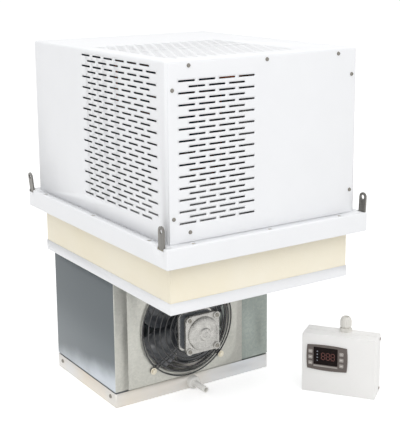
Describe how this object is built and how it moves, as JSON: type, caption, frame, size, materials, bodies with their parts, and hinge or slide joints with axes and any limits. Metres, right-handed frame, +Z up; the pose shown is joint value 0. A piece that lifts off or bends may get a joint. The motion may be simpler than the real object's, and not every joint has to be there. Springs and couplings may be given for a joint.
{
  "type": "ceiling refrigeration unit",
  "caption": "Ceiling-mount refrigeration unit: slotted condensing casing on a flange, insulating plug, evaporator with guarded fan and drip tray, and a keypad box.",
  "frame": {"origin": "middle of the plane on which the flange's lip lies on the ceiling panel", "axes": "+Z up out of the cold room, -Y the side that the evaporator fan faces, +X to the right as seen from the fan side"},
  "size_m": [0.5314, 0.567, 0.715],
  "materials": {
    "white_paint": "white powder coat",
    "galvanised": "galvanised sheet",
    "zinc_screw": "zinc plated",
    "white_plastic": "off-white moulded plastic",
    "foam": "cream rigid foam",
    "black_paint": "black paint",
    "rubber": "black rubber",
    "black_plastic": "black moulded plastic",
    "fin_aluminium": "thin fins",
    "copper": "bright copper",
    "motor_cast": "die-cast",
    "motor_core": "stacked steel sheets",
    "grey_plastic": "grey moulded plastic",
    "dark_window": "dark clear window",
    "brass_zinc": "yellow zinc plated"
  },
  "bodies": {
    "unit": {"back_panel": "white_paint", "cable_glands": "white_plastic", "capillary_tube": "copper", "casing_screws": "zinc_screw", "casing_wrap": "white_paint", "compressor_base": "galvanised", "compressor_mounts": "rubber", "compressor_shell": "black_paint", "compressor_terminal_cover": "black_plastic", "condenser_end_plates": "galvanised", "condenser_fan_motor": "motor_cast", "condenser_fins": "fin_aluminium", "condenser_motor_bracket": "galvanised", "condenser_return_bends": "copper", "condenser_shroud": "galvanised", "control_base": "white_plastic", "control_cover": "white_plastic", "control_screws": "zinc_screw", "discharge_pipe": "copper", "display_window": "dark_window", "drain_pipe": "white_plastic", "drain_spout": "white_plastic", "drip_tray": "galvanised", "electrical_box": "grey_plastic", "evaporator_end_plates": "galvanised", "evaporator_fins": "fin_aluminium", "evaporator_left_cover": "galvanised", "evaporator_motor_core": "motor_core", "evaporator_motor_front": "motor_cast", "evaporator_motor_rear": "motor_cast", "evaporator_return_bends": "copper", "evaporator_right_cover": "galvanised", "evaporator_top": "galvanised", "fan_plate": "galvanised", "filter_drier": "copper", "flange_frame": "white_paint", "front_panel": "white_paint", "gland_body": "white_plastic", "gland_nut": "white_plastic", "guard_arms": "black_paint", "guard_bolts": "brass_zinc", "guard_rings": "black_paint", "keypad_bezel": "grey_plastic", "lifting_straps": "galvanised", "liquid_pipe": "copper", "plug_cover": "white_paint", "plug_foam": "foam", "suction_pipe": "copper", "tray_screws": "zinc_screw"},
    "evaporator_fan": {"evaporator_fan": "black_plastic"},
    "condenser_fan": {"condenser_fan": "black_plastic"},
    "button_1": {"keypad_button_1": "grey_plastic"},
    "button_2": {"keypad_button_2": "grey_plastic"},
    "button_3": {"keypad_button_3": "grey_plastic"},
    "button_4": {"keypad_button_4": "grey_plastic"},
    "button_5": {"keypad_button_5": "grey_plastic"},
    "button_6": {"keypad_button_6": "grey_plastic"}
  },
  "joints": [
    {"name": "evaporator_fan_spin", "type": "hinge", "parent": "unit", "child": "evaporator_fan", "pos_m": [-0.019, 0, -0.22], "axis": [0, 1, 0], "continuous": true},
    {"name": "condenser_fan_spin", "type": "hinge", "parent": "unit", "child": "condenser_fan", "pos_m": [0.1, -0.075, 0.195], "axis": [1, 0, 0], "continuous": true},
    {"name": "button_1_press", "type": "slide", "parent": "unit", "child": "button_1", "axis": [0.809, 0.5878, 0], "range_m": [0, 0.0005], "stiffness_N_per_m": 400},
    {"name": "button_2_press", "type": "slide", "parent": "unit", "child": "button_2", "axis": [0.809, 0.5878, 0], "range_m": [0, 0.0005], "stiffness_N_per_m": 400},
    {"name": "button_3_press", "type": "slide", "parent": "unit", "child": "button_3", "axis": [0.809, 0.5878, 0], "range_m": [0, 0.0005], "stiffness_N_per_m": 400},
    {"name": "button_4_press", "type": "slide", "parent": "unit", "child": "button_4", "axis": [0.809, 0.5878, 0], "range_m": [0, 0.0005], "stiffness_N_per_m": 400},
    {"name": "button_5_press", "type": "slide", "parent": "unit", "child": "button_5", "axis": [0.809, 0.5878, 0], "range_m": [0, 0.0005], "stiffness_N_per_m": 400},
    {"name": "button_6_press", "type": "slide", "parent": "unit", "child": "button_6", "axis": [0.809, 0.5878, 0], "range_m": [0, 0.0005], "stiffness_N_per_m": 400}
  ]
}
